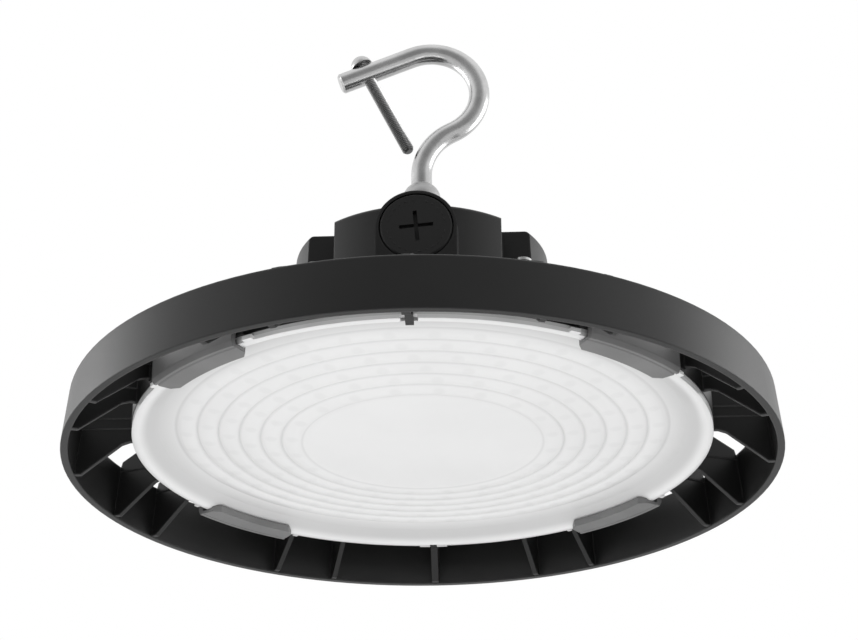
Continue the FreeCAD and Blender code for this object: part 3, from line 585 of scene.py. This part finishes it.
def lens_front():
    """Underside of the lens from its edge to its middle, as (radius, height)."""
    shape = [(lens_radius - 0.0004, 0.0)] + lens_slope[:3] + [lens_bend] + lens_slope[3:]
    for row in range(ring_count):
        for share, swell in ((0.0, 0.0), (0.12, 0.55), (0.3, 0.9), (0.5, 1.0), (0.7, 0.9), (0.88, 0.55)):
            inward = row + share
            height = lens_rise - ring_fall * inward / ring_count - ring_depth * swell
            shape.append((ring_outer - inward * ring_pitch, height))
    for share in (1.0, 0.94, 0.8, 0.6, 0.4, 0.2, pole_share):
        shape.append((ring_inner * share, lens_rise - ring_fall - middle_depth * (1 - share ** 2)))
    return [(radius, lens_edge + height) for radius, height in shape]


def lens_back():
    """Top side of the lens from its middle to its edge, as (radius, height)."""
    shape = [(ring_inner, lens_rise - ring_fall), (ring_outer, lens_rise)] + lens_slope[::-1]
    shape.append((lens_radius, 0.0))
    wall = [(radius, lens_edge + lens_wall + height) for radius, height in shape]
    return wall + [(lens_radius, lens_edge + lens_chamfer)]


def on_lens_edge(low, high):
    """A test for the lens's outer wall between two angles, in degrees."""
    def test(co):
        angle = math.degrees(math.atan2(co.y, co.x)) % 360
        return co.xy.length > lens_radius - 0.00005 and low <= angle <= high
    return test


def lens():
    """A turned section, with tabs beside the clips, two ears at the back and a slot at the front."""
    width, height = ring_inner * pole_share, lens_edge + lens_wall + lens_rise - ring_fall
    piece = ring("lens_cover", width, (0, 0, height), sides=360)
    for radius, level in lens_back() + lens_front():
        pull((0, 0, level - height), kind="extrude_edges_move")
        scale((radius / width, radius / width, 1), (0, 0, level))
        width, height = radius, level
    closed_up(piece)
    tabs = [angle + side * tab_angle for angle in clip_angles for side in (-1, 1)]
    reach = (lens_radius + tab_reach) / lens_radius
    for low, high in [ear_span] + [(tab - tab_half, tab + tab_half) for tab in tabs]:
        select_faces(piece, on_lens_edge(low, high))
        pull((0, 0, 0))
        scale((reach, reach, 1), (0, 0, lens_edge))
    closed_up(piece)
    slot = bar("front_slot", front_slot, (0, -lens_radius, lens_edge))
    select_edges(slot, lambda co: co.y > -lens_radius)
    bpy.ops.mesh.bevel(offset=front_slot_round, segments=4)
    cut(piece, slot)
    cut(piece, bar("back_slot", back_slot, (0, lens_radius + tab_reach, lens_edge)))
    return finished(piece, "lens", sharp=50.0)


# ---------------------------------------------------------------- plug

def raised_marks():
    """A ring of plain dashes on the plug's face, long and short."""
    marks = []
    for step in range(mark_count):
        if step % (mark_count // 2) in mark_gaps:
            continue
        angle = 2 * math.pi * step / mark_count
        place = plug_middle + Vector((math.cos(angle), 0, math.sin(angle))) * mark_circle
        length = 0.0014 if step % 3 else 0.0008
        marks.append(bar("mark", (length, 0.0003, 0.0004), place, (0, math.pi / 2 - angle, 0)))
        bpy.ops.mesh.bevel(offset=0.00008)
        mode("OBJECT")
    return marks


def port_plug():
    """A screwed plug: chamfered face, cross slot to turn it by, and a ring of plain raised marks."""
    face = plug_radius - plug_chamfer
    piece = ring("plug_body", face, plug_middle, sides=96, fill="NGON", turn=(math.pi / 2, 0, 0))
    bpy.ops.mesh.inset(thickness=0.0006)
    select_edges(piece, lambda co: (co - plug_middle).length > face - 0.0001)
    pull((0, plug_chamfer, 0), kind="extrude_edges_move")
    scale((plug_radius / face, 1, plug_radius / face), plug_middle)
    pull((0, plug_rim, 0), kind="extrude_edges_move")
    scale((plug_neck, 1, plug_neck), plug_middle)
    pull((0, plug_depth, 0), kind="extrude_edges_move")
    closed_up(piece)
    for turn in (plug_turn, plug_turn + 90):
        cut(piece, bar("slot", plug_slot, plug_middle, (0, -math.radians(turn), 0)))
    joined(piece, raised_marks())
    return finished(piece, "port_plug", sharp=30.0)


hook()
closure_screw()
lens()
port_plug()


# ---------------------------------------------------------------- studio

eye_place = (0.0331, -0.8295, -0.3379)
eye_angles = (26.4109, 2.0684, 0.3613)  # rise, bearing to the left and roll, in degrees
focal_length = 83.92
floor_height = -0.95
daylight = 0.84                         # strength of the sky
dimming = 0.64                          # taken from it towards the viewer
polish = 0.1                            # added to it in reflections
box_size = (0.9, 1.2)
light_middle = (0, 0, 0.03)


def studio():
    """A pale paper floor, well below the light."""
    bpy.ops.mesh.primitive_plane_add(size=12.0, location=(0, 0, floor_height))
    floor = bpy.context.object
    floor.name = "studio_floor"
    paper = Finish("studio_paper", base=0.85, roughness=0.9)
    floor.data.materials.append(paper.material)


def world():
    """White behind the light, plain daylight around it, and darker towards the viewer."""
    sky = bpy.data.worlds.new("studio_sky")
    bpy.context.scene.world = sky
    sky.use_nodes = True
    tree = sky.node_tree
    back = tree.nodes["Background"]
    path = tree.nodes.new("ShaderNodeLightPath")
    seen = Sock(tree, path.outputs["Is Camera Ray"])
    through = Sock(tree, path.outputs["Is Transmission Ray"])
    glossy = Sock(tree, path.outputs["Is Glossy Ray"])
    seen = seen.math("MAXIMUM", through)
    place = tree.nodes.new("ShaderNodeTexCoord")
    split = tree.nodes.new("ShaderNodeSeparateXYZ")
    tree.links.new(place.outputs["Generated"], split.inputs[0])
    toward = Sock(tree, split.outputs["Y"]) * -1.0
    lit = daylight - toward.over(0.35, 0.9) * dimming
    feed(tree, colour(1.0), back.inputs["Color"])
    feed(tree, seen + (1.0 - seen) * (lit + glossy * polish), back.inputs["Strength"])


def softbox(name, place, target, size, power):
    """A rectangular lamp that faces its target."""
    bpy.ops.object.light_add(type="AREA", location=place)
    lamp = bpy.context.object
    lamp.name = name
    lamp.data.shape = "RECTANGLE"
    lamp.data.size, lamp.data.size_y = size
    lamp.data.energy = power
    lamp.rotation_euler = (Vector(target) - Vector(place)).to_track_quat("-Z", "Y").to_euler()


def camera():
    """The eye is below the light and looks up at it."""
    rise, bearing, roll = (math.radians(angle) for angle in eye_angles)
    forward = Vector((-math.sin(bearing), math.cos(bearing), math.tan(rise))).normalized()
    level = forward.cross(Vector((0, 0, 1))).normalized()
    down = forward.cross(level)
    right = level * math.cos(roll) + down * math.sin(roll)
    top = level * math.sin(roll) - down * math.cos(roll)
    turn = Matrix((right, top, -forward)).transposed().to_4x4()
    bpy.ops.object.camera_add()
    eye = bpy.context.object
    eye.matrix_world = Matrix.Translation(eye_place) @ turn
    eye.data.sensor_width = 36.0
    eye.data.lens = focal_length
    bpy.context.scene.camera = eye


bpy.context.scene.view_settings.view_transform = "Standard"
studio()
world()
camera()
softbox("softbox_left", (-1.3, 0.35, 0.1), light_middle, box_size, 9.0)
softbox("softbox_right", (1.3, 0.35, 0.1), light_middle, box_size, 9.0)
softbox("softbox_below", (0, -0.5, -0.9), (0, 0, 0.02), (1.2, 0.8), 5.0)
